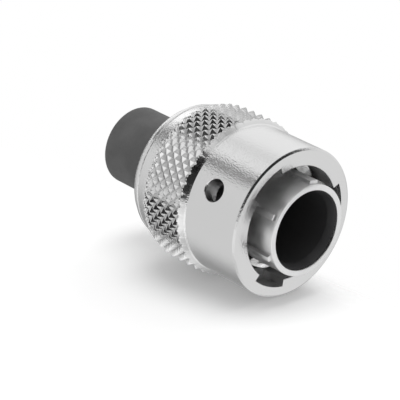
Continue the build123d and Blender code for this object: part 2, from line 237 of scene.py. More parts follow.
# The studio that the metal mirrors. A patch is (direction, cosines, brightness at each cosine), and
# a gap is (direction at right angles to it, sines, brightness at the first). They are multiplied.
STUDIO_PATCHES = (
    ((0.45, -0.45, 0.77), (0.42, 0.62), (1.0, 0.76)),  # wall behind on the left, less lit
    ((-0.674, -0.313, -0.669), (0.20, 0.80), (1.0, 0.84)),  # floor in front
    ((-0.60, -0.55, 0.58), (0.62, 0.99), (1.0, 0.42)),  # shadow under the plug
    (PHOTO_FLOOR, (0.80, 0.92), (1.0, 0.60)),  # ceiling
    ((0.65, -0.75, -0.08), (0.86, 0.96), (1.0, 1.25)),  # lit floor on the left
    ((0.27, -0.88, -0.40), (0.93, 0.98), (1.0, 0.6)),  # shade beside the plug
    ((-0.38, -0.05, 0.92), (0.94, 0.98), (1.0, 1.6)),  # lamp behind the sleeve
)
STUDIO_GAPS = (
    ((0.650, -0.728, 0.2175), (0.04, 0.17), 0.22),  # between the two large lamps overhead
    ((-0.986, -0.168, 0.0), (0.0, 0.20), 0.82),  # seam of the right lamp
)
STUDIO_BACKDROP = (0.12, 0.26)  # heights over which the gaps open above the backdrop
DARK_ROOM = ((0.70, 0.24, -0.67), (-0.25, 0.38, -0.89))  # behind the camera, above the floor
DARK_ROOM_EDGE = (0.78, 0.87)
DARK_ROOM_BRIGHTNESS = 0.03
DARK_ROOM_FLOOR = (-0.16, -0.05)  # heights over which the floor gives way to the dark room
UNDER_PLUG = 0.2  # share of the studio's light that the metal throws onto the paper


def around(count):
    """Evenly spaced angles, once round."""
    return [2 * pi * number / count for number in range(count)]


def loft(sections, closed=False, valleys=False):
    """Mesh through matching cross-sections, capped at both ends unless it closes on itself.

    With valleys, a bent quad is folded along the diagonal that lies nearer to the axis."""
    mesh = bmesh.new()
    rows = [[mesh.verts.new(point) for point in section] for section in sections]
    for row, following in zip(rows, rows[1:] + rows[:1] if closed else rows[1:]):
        for number in range(len(row)):
            after = (number + 1) % len(row)
            quad = [row[number], row[after], following[after], following[number]]
            bend = 0.0
            if valleys:
                reach = [corner.co.xy.length for corner in quad]
                bend = reach[0] + reach[2] - reach[1] - reach[3]
            if abs(bend) < 0.001 * MM:
                mesh.faces.new(quad)
            else:
                quad = quad if bend < 0 else quad[1:] + quad[:1]
                mesh.faces.new((quad[0], quad[1], quad[2]))
                mesh.faces.new((quad[0], quad[2], quad[3]))
    if not closed:
        mesh.faces.new(rows[0])
        mesh.faces.new(rows[-1])
    bmesh.ops.remove_doubles(mesh, verts=mesh.verts, dist=1e-8)
    bmesh.ops.recalc_face_normals(mesh, faces=mesh.faces)
    return mesh


def turned(outline, angles, shape=None, centre=(0.0, 0.0), valleys=False):
    """Turned piece from its half section of (radius, height) points.

    The shape, where there is one, gives the radius at an angle and height."""
    sections = []
    for angle in angles:
        section = []
        for radius, z in outline:
            reach = shape(radius, angle, z) if shape else radius
            section.append((centre[0] + reach * cos(angle), centre[1] + reach * sin(angle), z))
        sections.append(section)
    return loft(sections, closed=True, valleys=valleys)


def rounded(*corners, steps=6):
    """Outline from (radius, height, rounding) corners, with an arc at each rounding."""
    outline = []
    for number, (radius, z, rounding) in enumerate(corners):
        corner = Vector((radius, z))
        if not rounding:
            outline.append(tuple(corner))
            continue
        back = (Vector(corners[number - 1][:2]) - corner).normalized()
        ahead = (Vector(corners[(number + 1) % len(corners)][:2]) - corner).normalized()
        half = back.angle(ahead) / 2
        middle = corner + (back + ahead).normalized() * rounding / sin(half)
        tangent = rounding * cos(half) / sin(half)
        start = (corner + back * tangent - middle).normalized()
        end = (corner + ahead * tangent - middle).normalized()
        for step in range(steps + 1):
            outline.append(tuple(middle + start.slerp(end, step / steps).normalized() * rounding))
    return outline


def square_groove(wall, floor, start, end):
    """Corners of a square groove in a wall, for an outline."""
    return [(wall, start, 0), (floor, start, 0), (floor, end, 0), (wall, end, 0)]


def radial_pin(angle, z, stations):
    """Round cutter that points outwards, from its (distance from the axis, radius) stations."""
    out = Vector((cos(angle), sin(angle), 0))
    side = Vector((-sin(angle), cos(angle), 0))
    up = Vector((0, 0, 1))
    return loft(
        [
            [
                out * far + up * z + side * (radius * cos(a)) + up * (radius * sin(a))
                for a in around(SIGHT_HOLE_SIDES)
            ]
            for far, radius in stations
        ]
    )


def joined(meshes):
    """One mesh out of several that stand apart."""
    whole = meshes[0]
    for mesh in meshes[1:]:
        part = bpy.data.meshes.new("part")
        mesh.to_mesh(part)
        whole.from_mesh(part)
        bpy.data.meshes.remove(part)
        mesh.free()
    return whole


def placed(name, mesh):
    """Object in the scene that holds the mesh."""
    data = bpy.data.meshes.new(name)
    mesh.to_mesh(data)
    mesh.free()
    item = bpy.data.objects.new(name, data)
    bpy.context.scene.collection.objects.link(item)
    return item


def bake(item):
    """Turns an object's modifiers into its mesh."""
    depsgraph = bpy.context.evaluated_depsgraph_get()
    plain = item.data
    item.data = bpy.data.meshes.new_from_object(
        item.evaluated_get(depsgraph), preserve_all_data_layers=True, depsgraph=depsgraph
    )
    item.modifiers.clear()
    bpy.data.meshes.remove(plain)


def cut(item, mesh):
    """Takes a cutter out of an object."""
    cutter = placed("cutter", mesh)
    modifier = item.modifiers.new("cut", "BOOLEAN")
    modifier.operation = "DIFFERENCE"
    modifier.solver = "EXACT"
    modifier.object = cutter
    faces = len(item.data.polygons)
    bake(item)
    bpy.data.meshes.remove(cutter.data)
    if len(item.data.polygons) == faces:
        raise RuntimeError(f"a cutter took nothing out of {item.name}")


def dress(item, material, body, slot, *nodes):
    """Gives a finished piece its shading, material and body, and hides the CAD nodes that it stands
    for.
    """
    item.data.shade_smooth()
    item.data.set_sharp_from_angle(angle=CREASE)
    modifier = item.modifiers.new("flat faces", "WEIGHTED_NORMAL")
    modifier.keep_sharp = True
    bake(item)
    item.data.materials.clear()
    item.data.materials.append(material)
    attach(item, body)
    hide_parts(*nodes)


def keep(material, *nodes):
    """Leaves CAD nodes in place and gives them a better material."""
    for node in nodes:
        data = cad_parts[node].data
        data.materials.clear()
        data.materials.append(material)


def add_node(tree, kind, inputs=(), **settings):
    """Adds a node with its settings, and feeds its inputs with values, sockets or other nodes.

    Inputs are named, or come in the node's own order. Another node stands for its first output."""
    made = tree.nodes.new("ShaderNode" + kind)
    for setting, value in settings.items():
        setattr(made, setting, value)
    named = inputs if isinstance(inputs, dict) else dict(enumerate(inputs))
    for place, value in named.items():
        if isinstance(value, bpy.types.Node):
            value = value.outputs[0]
        if isinstance(value, bpy.types.NodeSocket):
            tree.links.new(value, made.inputs[place])
        else:
            made.inputs[place].default_value = value
    return made


def new_material(name):
    """Empty node material and its tree."""
    material = bpy.data.materials.get(name) or bpy.data.materials.new(name)
    material.use_nodes = True
    material.node_tree.nodes.clear()
    return material, material.node_tree


def grain(place, millimetres, detail=2.0):
    """What a noise texture needs for lumps of about this size."""
    return {"Vector": place, "Scale": 1 / (millimetres * MM), "Detail": detail, "Roughness": 0.55}


def turned_place(tree, place):
    """Coordinates that only change with the distance from the axis and the height.

    They make marks as a lathe does. The distance and the height come with them."""
    apart = add_node(tree, "SeparateXYZ", (place,))
    flat = add_node(tree, "CombineXYZ", (apart.outputs["X"], apart.outputs["Y"]))
    reach = add_node(tree, "VectorMath", (flat,), operation="LENGTH").outputs["Value"]
    marks = add_node(tree, "CombineXYZ", {"X": reach, "Z": apart.outputs["Z"]})
    return marks, reach, apart.outputs["Z"]


def surface(tree, colour, dark, clean_or_unshaded, relief, gloss):
    """Colour, roughness and relief of a surface, as its shader needs them.

    Where the mask is low the colour goes towards a darker share of itself: uneven tone on most
    surfaces, painted shade in the knurl's grooves. The relief is (pattern, depth in mm, strength),
    and the gloss is (pattern, lowest and highest roughness)."""
    # the darker share is uneven tone, or painted shade where a material's mask follows the grooves
    soiled_or_shaded = [channel * dark for channel in colour[:3]] + [1.0]
    tint = add_node(tree, "Mix", {"Factor": clean_or_unshaded, 6: soiled_or_shaded, 7: colour[:]}, data_type="RGBA")
    height, depth, strength = relief
    bumps = add_node(tree, "Bump", {"Height": height, "Distance": depth * MM, "Strength": strength})
    pattern, low, high = gloss
    rough = add_node(tree, "MapRange", (pattern, 0.3, 0.7, low, high), **SOFT)
    return {"Base Color": tint.outputs[2], "Roughness": rough, "Normal": bumps}


def finished(material, look):
    """Material whose tree ends in one shader with this look."""
    shader = add_node(material.node_tree, "BsdfPrincipled", look)
    add_node(material.node_tree, "OutputMaterial", (shader,))
    return material


def satin_nickel_plate(nut):
    """Satin electroless nickel on a turned and blasted nut.

    To the eye it is a broad, milky reflection, broken up by a fine grain."""
    material, tree = new_material("satin nickel plate")
    place = add_node(tree, "TexCoord").outputs["Object"]
    marks, reach, z = turned_place(tree, place)
    # blasting leaves dents of about 0.1 mm, drawn at 0.2 mm, and the lathe's feed of 0.09 mm
    # shows through them
    fine = add_node(tree, "TexNoise", grain(place, 0.20, 1.0))
    feed = add_node(tree, "TexNoise", grain(marks, 0.09, 1.0))
    clouds = add_node(tree, "TexNoise", grain(place, 2.4))

    # painted shade: the bottoms of the knurl's grooves are painted a darker share of the nickel,
    # standing in for the shade that falls in them
    groove_radius = nut.crest_radius - nut.knurl_depth
    depth = add_node(tree, "MapRange", (reach, groove_radius, nut.crest_radius), **SOFT)
    ring_limit = nut.ring_radius + 0.15 * MM
    on_ring = add_node(tree, "Math", (reach, ring_limit), operation="LESS_THAN")
    on_taper = add_node(tree, "Math", (z, nut.grip_end), operation="GREATER_THAN")
    turned_part = add_node(tree, "Math", (on_ring, on_taper), operation="MAXIMUM")
    # painted shade mask: full colour on the crests, the ring and the taper, and darker towards the
    # groove bottoms
    clean_or_unshaded = add_node(tree, "Math", (depth, turned_part), operation="MAXIMUM")

    # the rolled flanks of the knurl are smoother than the turned surfaces
    knurl_gone = nut.grip_end + nut.knurl_fade
    knurl_fading = nut.grip_end + nut.knurl_fade / 2
    past_knurl = add_node(tree, "MapRange", (z, knurl_fading, knurl_gone), **SOFT)
    blasted = add_node(tree, "Math", (on_ring, past_knurl), operation="MAXIMUM")
    dented = add_node(tree, "MapRange", (blasted, 0.0, 1.0, 0.15, 0.65), **SOFT)
    look = surface(tree, nut.nickel, 0.88, clean_or_unshaded, (fine, 0.05, dented), (clouds, 0.14, 0.18))
    lathe = {"Height": feed, "Distance": 0.002 * MM, "Strength": 0.25, "Normal": look["Normal"]}
    look["Normal"] = add_node(tree, "Bump", lathe)

    # the blasting hardly reaches the bayonet track, so it stays duller, as the cutter left it
    front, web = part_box("coupling_nut")[0][2], nut.web_front
    mouth = front + nut.lip
    floor_limit = nut.track_radius + 0.05 * MM
    deep = add_node(tree, "Math", (reach, floor_limit), operation="LESS_THAN")
    past_face = add_node(tree, "MapRange", (z, front + EDGE, front + 2 * EDGE), **SOFT)
    before_web = add_node(tree, "MapRange", (z, web - EDGE, web, 1.0, 0.0), **SOFT)
    inside = add_node(tree, "Math", (past_face, before_web), operation="MULTIPLY")
    track = add_node(tree, "Math", (inside, deep), operation="MULTIPLY")
    dull = add_node(tree, "MapRange", (z, mouth, mouth + nut.track_width, 0.45, 0.25), **SOFT)
    either = {"Factor": track, "A": look["Roughness"], "B": dull}
    look["Roughness"] = add_node(tree, "Mix", either, data_type="FLOAT")
    return finished(material, {**look, "Metallic": 1.0})


def bright_nickel_plate(shell):
    """Bright nickel on a finely turned shell.

    To the eye it is nearly a mirror, drawn out round the axis by the lathe's marks."""
    material, tree = new_material("bright nickel plate")
    place = add_node(tree, "TexCoord").outputs["Object"]
    marks = turned_place(tree, place)[0]
    # the feed of 0.05 mm is half a pixel wide, so it is drawn at 0.10 mm
    feed = add_node(tree, "TexNoise", grain(marks, 0.10))
    smears = add_node(tree, "TexNoise", grain(place, 1.6))
    clean_or_unshaded = add_node(tree, "MapRange", (smears, 0.3, 0.7), **SOFT)
    look = surface(tree, shell.nickel, 0.95, clean_or_unshaded, (feed, 0.001, 0.3), (smears, 0.30, 0.34))
    drawn_out = {
        "Anisotropic": 0.6,
        "Anisotropic Rotation": 0.25,
        "Tangent": add_node(tree, "Tangent", direction_type="RADIAL", axis="Z"),
    }
    return finished(material, {**look, **drawn_out, "Metallic": 1.0})


def gold_plate(insert):
    """Gold over nickel on turned pins: warm and glossy."""
    material, tree = new_material("gold plate")
    place = add_node(tree, "TexCoord").outputs["Object"]
    film = add_node(tree, "TexNoise", grain(place, 0.5))
    look = surface(tree, insert.gold, 0.85, film, (film, 0.002, 0.3), (film, 0.16, 0.26))
    return finished(material, {**look, "Metallic": 1.0})


def spring_steel(insert):
    """Stamped and tumbled spring steel: a cool grey with a soft sheen."""
    material, tree = new_material("tumbled spring steel")
    place = add_node(tree, "TexCoord").outputs["Object"]
    dents = add_node(tree, "TexNoise", grain(place, 0.4, 3.0))
    look = surface(tree, insert.steel, 0.8, dents, (dents, 0.008, 0.4), (dents, 0.28, 0.42))
    return finished(material, {**look, "Metallic": 1.0})


def moulded_thermoset(insert):
    """Compression-moulded thermoset, filled black: dense, with a low and even gloss."""
    material, tree = new_material("moulded black thermoset")
    place = add_node(tree, "TexCoord").outputs["Object"]
    skin = add_node(tree, "TexNoise", grain(place, 0.35, 3.0))
    flow = add_node(tree, "TexNoise", grain(place, 2.5))
    look = surface(tree, insert.black, 0.75, flow, (skin, 0.006, 0.35), (flow, 0.38, 0.50))
    return finished(material, {**look, "IOR": 1.55})


def moulded_rubber(name, colour, roughness):
    """Moulded synthetic rubber: matt, with the fine spark-eroded skin of its mould."""
    material, tree = new_material(name)
    place = add_node(tree, "TexCoord").outputs["Object"]
    # the mould's skin is about 0.1 mm across, drawn at 0.22 mm so that it shows
    skin = add_node(tree, "TexNoise", grain(place, 0.22, 4.0))
    bloom = add_node(tree, "TexNoise", grain(place, 3.0))
    clean_or_unshaded = add_node(tree, "MapRange", (bloom, 0.3, 0.7), **SOFT)
    gloss = (skin, roughness - 0.06, roughness + 0.06)
    look = surface(tree, colour, 0.82, clean_or_unshaded, (skin, 0.020, 0.5), gloss)
    return finished(material, {**look, "IOR": 1.52, "Specular IOR Level": 0.35})


def knurl_radius(nut, angle, z):
    """Surface of the cross knurl: two families of helical V-grooves, with crests between them."""
    column = angle * nut.knurl_columns / pi
    row = (z - nut.knurl_start) / nut.knurl_row
    groove = min(1 - abs((turn % 2) - 1) for turn in (column + row, column - row))
    # the wheel's bevelled edge leaves the grooves shallow at their very start
    pressed = min(1.0, KNURL_FIRST_PRESS + (z - nut.knurl_start) / nut.knurl_row)
    return nut.crest_radius - nut.knurl_depth * pressed * (1 - groove)


def track_cutter(nut, start, notch):
    """Helical bayonet groove, square to its own path, from a notch's middle to its sight hole."""
    inner, outer = nut.bore_radius - OVERLAP, nut.track_radius - 0.004 * MM
    middle = (inner + outer) / 2
    rise = nut.lock_height - start
    corners = ((inner, -1), (outer, -1), (outer, 1), (inner, 1))
    sections = []
    for step in range(TRACK_STEPS + 1):
        angle = radians(notch + LOCK_TURN * step / TRACK_STEPS)
        out = Vector((cos(angle), sin(angle), 0))
        sideways = Vector((-sin(angle), cos(angle), 0)) * middle * radians(LOCK_TURN)
        along = sideways + Vector((0, 0, rise))
        across = out.cross(along.normalized()) * nut.track_width / 2
        height = Vector((0, 0, start + rise * step / TRACK_STEPS))
        sections.append([height + out * radius + across * side for radius, side in corners])
    return loft(sections)


def bayonet_cutters(nut, front):
    """Cutters of the entry notches, of the grooves and of the sight holes, each kind joined."""
    inside = nut.bore_radius - OVERLAP
    notch_end = front + nut.lip + nut.track_width
    corners = (
        (inside, front - OVERLAP),
        (nut.track_radius, front - OVERLAP),
        (nut.track_radius, notch_end),
        (inside, notch_end),
    )
    # the sight holes are countersunk
    hole = nut.sight_hole / 2
    stations = (
        (inside, hole),
        (nut.ring_radius - 0.16 * MM, hole),
        (nut.ring_radius + 0.14 * MM, hole + 0.20 * MM),
        (nut.ring_radius + OVERLAP, hole + 0.20 * MM),
    )
    notches, tracks, holes = [], [], []
    for notch in NOTCH_ANGLES:
        first = notch - NOTCH_SPAN / 2
        angles = [radians(first + NOTCH_SPAN * n / NOTCH_STEPS) for n in range(NOTCH_STEPS + 1)]
        notches.append(loft([[(r * cos(a), r * sin(a), z) for r, z in corners] for a in angles]))
        tracks.append(track_cutter(nut, front + nut.lip + nut.track_width / 2, notch))
        holes.append(radial_pin(radians(notch + LOCK_TURN), nut.lock_height, stations))
    return joined(notches), joined(tracks), joined(holes)


def grip_mesh(nut, back, angles):
    """Knurled grip, rear taper and web, to be welded on behind the ring."""
    blank = nut.crest_radius - nut.crest_flat
    step_slope = (blank - nut.ring_radius) / nut.step
    taper_slope = (nut.crest_radius - nut.taper_radius) / (back - nut.grip_end)
    taper_start = nut.grip_end + nut.crest_flat / taper_slope
    knurl_end = nut.grip_end + (nut.knurl_depth + 0.1 * MM) / taper_slope

    def taper(z):
        return nut.crest_radius - (z - nut.grip_end) * taper_slope

    def shape(radius, angle, z):
        if nut.ring_end < z < knurl_end and radius > nut.ring_radius:
            return min(radius, knurl_radius(nut, angle, z))
        return radius

    rows = int((knurl_end - nut.knurl_start) / nut.knurl_row * KNURL_CELL_STEPS)
    heights = {nut.ring_end + nut.step, taper_start}
    heights |= {nut.knurl_start + nut.knurl_row * n / KNURL_CELL_STEPS for n in range(-1, rows + 1)}
    grip = [
        (min(nut.ring_radius + (z - nut.ring_end) * step_slope, blank, taper(z)), z)
        for z in sorted(heights)
    ]
    # a thin bead is turned round the rear edge, and the edge itself is crowned
    bead, crown = taper(nut.bead), (9.44 * MM, 22.25 * MM, 0.80 * MM)
    rear = rounded(
        (taper(knurl_end), knurl_end, 0),
        (bead, nut.bead, 0),
        (bead + 0.04 * MM, nut.bead + 0.07 * MM, 0),
        crown,
        (nut.taper_radius - 0.07 * MM, back, nut.rear_round),
        (nut.recess, back, 0.20 * MM),
        (nut.recess, nut.web_back, 0.15 * MM),
        (nut.web_bore, nut.web_back, EDGE),
        (nut.web_bore, nut.web_front, EDGE),
        (nut.bore_radius, nut.web_front, 0),
    )
    outline = [(nut.ring_radius, nut.ring_end)] + grip + rear + [(nut.bore_radius, nut.ring_end)]
    return turned(outline, angles, shape, valleys=True)


class CONNECTOR_OT_coupling_nut(bpy.types.Operator):
    """Builds the knurled coupling nut with its bayonet track"""

    bl_idname = "connector.coupling_nut"
    bl_label = "Coupling Nut"

    def execute(self, context):
        nut = context.scene.connector_nut
        front, back = (corner[2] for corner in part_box("coupling_nut"))
        angles = around(2 * KNURL_CELL_STEPS * nut.knurl_columns)
        ring = rounded(
            (nut.bore_radius, nut.ring_end, 0),
            (nut.bore_radius, front, EDGE),
            (nut.ring_radius - nut.front_edge, front, 0.12 * MM),
            (nut.ring_radius, front + 0.7 * nut.front_edge, 0.05 * MM),
            (nut.ring_radius, nut.ring_end, 0),
        )
        item = placed("coupling_nut_plated", turned(ring, angles))
        for cutters in bayonet_cutters(nut, front):
            cut(item, cutters)

        # the grip is turned by itself, and the faces where it meets the ring are taken out
        mesh = grip_mesh(nut, back, angles)
        mesh.from_mesh(item.data)
        near, end = 0.001 * MM, nut.ring_end
        seam = [face for face in mesh.faces if all(abs(v.co.z - end) < near for v in face.verts)]
        bmesh.ops.delete(mesh, geom=seam, context="FACES")
        bmesh.ops.remove_doubles(mesh, verts=mesh.verts, dist=near)
        mesh.to_mesh(item.data)
        mesh.free()
        dress(item, satin_nickel_plate(nut), "coupling", "satin_nickel", "coupling_nut")
        return {"FINISHED"}


def threaded(shell, wall, front, back):
    """Shape that cuts the rear thread into a wall between two heights."""

    def shape(radius, angle, z):
        if radius != wall or not front < z < back:
            return radius
        # the crest and the root are each a sixth of the pitch wide
        turn = (z / shell.thread_pitch - angle / (2 * pi)) % 1
        return radius - shell.thread_depth * max(0.0, min(1.0, 1.25 - abs(turn - 0.5) * 3.0))

    return shape


def barrel_reaches(shell, soft):
    """Radius of the keyed barrel at each angle of its mesh, with soft corners on the keys."""
    barrel, top = shell.barrel_radius, shell.barrel_radius + shell.key_height
    reaches = {}
    for number, key in enumerate(KEY_ANGLES):
        half = (shell.key_width if number else shell.master_key_width) / 2
        sides = (
            (barrel, half),
            (top - soft, half),
            (top - soft * 0.3, half - soft * 0.3),
            (top, half - soft),
        )
        for radius, sideways in sides:
            for side in (-1, 1):
                reaches[(radians(key) + side * asin(sideways / radius)) % (2 * pi)] = radius
        reaches[radians(key) % (2 * pi)] = top
    margin = radians(0.4)
    clear_of_master = asin(shell.master_key_width / 2 / barrel) + margin
    clear_of_others = asin(shell.key_width / 2 / barrel) + margin
    for angle in around(BARREL_SIDES):
        gaps = [abs((angle - radians(key) + pi) % (2 * pi) - pi) for key in KEY_ANGLES]
        if gaps[0] > clear_of_master and min(gaps[1:]) > clear_of_others:
            reaches[angle] = barrel
    return reaches


class CONNECTOR_OT_plug_shell(bpy.types.Operator):
    """Builds the plug shell with its keyed barrel, flange, ring grooves and rear thread"""

    bl_idname = "connector.plug_shell"
    bl_label = "Plug Shell"

    def execute(self, context):
        shell = context.scene.connector_shell
        barrel, bore, journal = shell.barrel_radius, shell.barrel_bore, shell.journal_radius
        top = barrel + shell.key_height
        soft = 0.06 * MM
        reaches = barrel_reaches(shell, soft)
        key_end = 10.80 * MM
        flange, flange_front, flange_back = 7.55 * MM, 11.60 * MM, 13.10 * MM
        ledge, ledge_front, ledge_back = 4.55 * MM, 12.40 * MM, 13.40 * MM
        rear_bore, shell_end = 5.00 * MM, 21.50 * MM
        thread_front, thread_back, thread_rows = 20.10 * MM, 21.25 * MM, 28

        rear_shape = threaded(shell, journal, thread_front, thread_back)

        def shape(radius, angle, z):
            return min(radius, reaches[angle]) if z <= key_end else rear_shape(radius, angle, z)

        setback = shell.key_setback
        front = rounded(
            (bore, ledge_front, 0),
            (bore, 0, shell.rim_round),
            (barrel, 0, shell.rim_round),
            (barrel, setback, 0),
        )
        keys = [
            (top - soft, setback),
            (top - soft * 0.3, setback + soft * 0.3),
            (top, setback + soft),
            (top, key_end),
        ]
        middle = rounded(
            (barrel, key_end, 0),
            (barrel, flange_front, 0),
            (flange, flange_front, 0.12 * MM),
            (flange, flange_back, 0.12 * MM),
            (journal, flange_back, 0),
            *square_groove(journal, 5.85 * MM, 17.26 * MM, 18.24 * MM),  # snap ring
            *square_groove(journal, 5.92 * MM, 19.05 * MM, 20.03 * MM),  # seal
        )
        thread = [(journal, thread_front + THREAD_ROW * (row + 1)) for row in range(thread_rows)]
        rear = rounded(
            (journal, thread_back, 0),
            (journal, shell_end, 0.15 * MM),
            (rear_bore, shell_end, EDGE),
            *square_groove(rear_bore, 5.34 * MM, 17.24 * MM, 16.56 * MM),  # insert's snap ring
            (rear_bore, ledge_back, 0),
            (ledge, ledge_back, 0),
            (ledge, ledge_front, 0),
        )
        outline = front + keys + middle + thread + rear
        item = placed("plug_shell_plated", turned(outline, sorted(reaches), shape))
        material = bright_nickel_plate(shell)
        dress(item, material, "plug", "bright_nickel", "plug_shell")
        keep(material, "ferrule")
        return {"FINISHED"}


def contact_place(node):
    """Place of a contact seen along the axis."""
    low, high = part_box(node)
    return (low[0] + high[0]) / 2, (low[1] + high[1]) / 2


class CONNECTOR_OT_insulators(bpy.types.Operator):
    """Builds the black insulator that lines the barrel, and finishes the rear one"""

    bl_idname = "connector.insulators"
    bl_label = "Insulators"

    def execute(self, context):
        insert = context.scene.connector_insert
        low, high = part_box("front_insulator")
        lining, face, ledge, spigot = high[0], 11.00 * MM, 12.40 * MM, 4.52 * MM
        inner = lining - insert.skirt
        outline = rounded(
            (0, face, 0),
            (inner, face, 0.08 * MM),
            (inner, low[2] + insert.lead_in, 0.30 * MM),
            (lining - 0.08 * MM, low[2], 0.03 * MM),
            (lining, low[2] + 0.10 * MM, 0),
            (lining, ledge, EDGE),
            (spigot, ledge, 0),
            (spigot, high[2], EDGE),
            (0, high[2], 0),
        )
        item = placed("front_insulator_moulded", turned(outline, around(TURNED_SIDES)))
        # each contact's hole has a small funnel in the face
        hole = insert.pin_radius + 0.04 * MM
        funnel = hole + 0.1 * MM
        stations = (
            (face - OVERLAP, funnel),
            (face - 0.01 * MM, funnel),
            (face + 0.12 * MM, hole),
            (high[2] + OVERLAP, hole),
        )
        circle = [(cos(a), sin(a)) for a in around(DRILL_SIDES)]
        drills = []
        for node in CONTACTS:
            x, y = contact_place(node)
            drill = [[(x + r * c, y + r * s, z) for c, s in circle] for z, r in stations]
            drills.append(loft(drill))
        cut(item, joined(drills))
        material = moulded_thermoset(insert)
        dress(item, material, "plug", "black_insulator", "front_insulator")
        keep(material, "rear_insulator")
        return {"FINISHED"}


class CONNECTOR_OT_contacts(bpy.types.Operator):
    """Builds the six gold-plated pins with their solder cups"""

    bl_idname = "connector.contacts"
    bl_label = "Contacts"

    def execute(self, context):
        insert = context.scene.connector_insert
        material = gold_plate(insert)
        pin, cup, bore, shoulder = insert.pin_radius, insert.cup_radius, 0.55 * MM, 13.40 * MM
        bore_depth = 2 * MM
        for node in CONTACTS:
            low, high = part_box(node)
            outline = rounded(
                (0, low[2], 0),
                (pin, low[2], 0.40 * MM),
                (pin, shoulder, 0),
                (cup, shoulder, 0.08 * MM),
                (cup, high[2], 0.06 * MM),
                (bore, high[2], 0.06 * MM),
                (bore, high[2] - bore_depth, 0.2 * MM),
                (0, high[2] - bore_depth, 0),
            )
            mesh = turned(outline, around(PIN_SIDES), centre=contact_place(node))
            dress(placed(f"{node}_plated", mesh), material, "plug", "gold_plate", node)
        return {"FINISHED"}


class CONNECTOR_OT_rubber_sleeve(bpy.types.Operator):
    """Builds the rubber sleeve for the cable, and finishes the wire seal"""

    bl_idname = "connector.rubber_sleeve"
    bl_label = "Rubber Sleeve"

    def execute(self, context):
        end = context.scene.connector_cable_end
        low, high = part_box("rubber_sleeve")
        outline = rounded(
            (end.sleeve_bore, low[2], 0),
            (high[0], low[2], EDGE),
            (high[0], end.collar, EDGE),
            (end.sleeve_radius, end.collar, EDGE),
            (end.sleeve_radius, high[2], end.sleeve_round),
            (end.sleeve_bore, high[2], 0.30 * MM),
        )
        item = placed("rubber_sleeve_moulded", turned(outline, around(TURNED_SIDES)))
        material = moulded_rubber("moulded grey rubber", end.rubber[:], 0.72)
        dress(item, material, "plug", "grey_rubber", "rubber_sleeve")
        keep(material, "grommet")
        return {"FINISHED"}


class CONNECTOR_OT_end_nut(bpy.types.Operator):
    """Builds the end nut with its inner thread and spanner slots"""

    bl_idname = "connector.end_nut"
    bl_label = "End Nut"

    def execute(self, context):
        end, shell = context.scene.connector_cable_end, context.scene.connector_shell
        low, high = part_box("end_nut")
        bore, outside, hole = 6.44 * MM, 7.48 * MM, end.sleeve_radius + 0.03 * MM
        seal_room, seal_end = 6.82 * MM, 20.03 * MM
        thread_front, thread_back, thread_rows = 20.10 * MM, 21.45 * MM, 33
        shape = threaded(shell, bore, thread_front, thread_back)
        corners = rounded(
            (seal_room, seal_end, 0),
            (seal_room, low[2], 0.08 * MM),
            (outside, low[2], 0.15 * MM),
            (outside, high[2], 0.22 * MM),
            (hole, high[2], 0.15 * MM),
            (hole, end.collar, 0),
            (bore, end.collar, 0),
        )
        thread = [(bore, thread_back - THREAD_ROW * row) for row in range(thread_rows)]
        outline = corners + thread + [(bore, seal_end)]
        item = placed("end_nut_plated", turned(outline, around(TURNED_SIDES), shape))
        inner, outer, half = 6.78 * MM, 8.20 * MM, end.slot_width / 2
        corners = ((inner, -half), (outer, -half), (outer, half), (inner, half))
        heights = (high[2] - end.slot_depth, high[2] + OVERLAP)
        slots = []
        for angle in around(SPANNER_SLOTS):
            out, side = Vector((cos(angle), sin(angle), 0)), Vector((-sin(angle), cos(angle), 0))
            square = [out * reach + side * aside for reach, aside in corners]
            slots.append(loft([[corner + Vector((0, 0, z)) for corner in square] for z in heights]))
        cut(item, joined(slots))
        material = bpy.data.materials["satin nickel plate"]
        dress(item, material, "plug", "satin_nickel", "end_nut")
        return {"FINISHED"}


class CONNECTOR_OT_rings_and_seals(bpy.types.Operator):
    """Builds the wave spring, and finishes the washer, snap rings, gasket and seal"""

    bl_idname = "connector.rings_and_seals"
    bl_label = "Rings and Seals"

    def execute(self, context):
        insert = context.scene.connector_insert
        steel = spring_steel(insert)
        keep(steel, "thrust_washer", "retaining_ring", "insert_ring")
        rubber = moulded_rubber("moulded black rubber", insert.seal[:], 0.62)
        keep(rubber, "joint_gasket", "seal_ring")

        low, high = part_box("wave_spring")
        inner, outer, strip, edge = 6.60 * MM, high[0], 0.28 * MM, 0.05 * MM
        middle, lift = (low[2] + high[2]) / 2, (high[2] - low[2] - strip) / 2
        section = rounded(
            (inner, -strip / 2, edge),
            (outer, -strip / 2, edge),
            (outer, strip / 2, edge),
            (inner, strip / 2, edge),
            steps=2,
        )
        wave = []
        for a in around(SPRING_SIDES):
            height = middle + lift * sin(SPRING_WAVES * a)
            wave.append([(r * cos(a), r * sin(a), height + z) for r, z in section])
        spring = placed("wave_spring_formed", loft(wave, closed=True))
        dress(spring, steel, "plug", "spring_steel", "wave_spring")
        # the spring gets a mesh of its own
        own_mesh(spring)
        return {"FINISHED"}


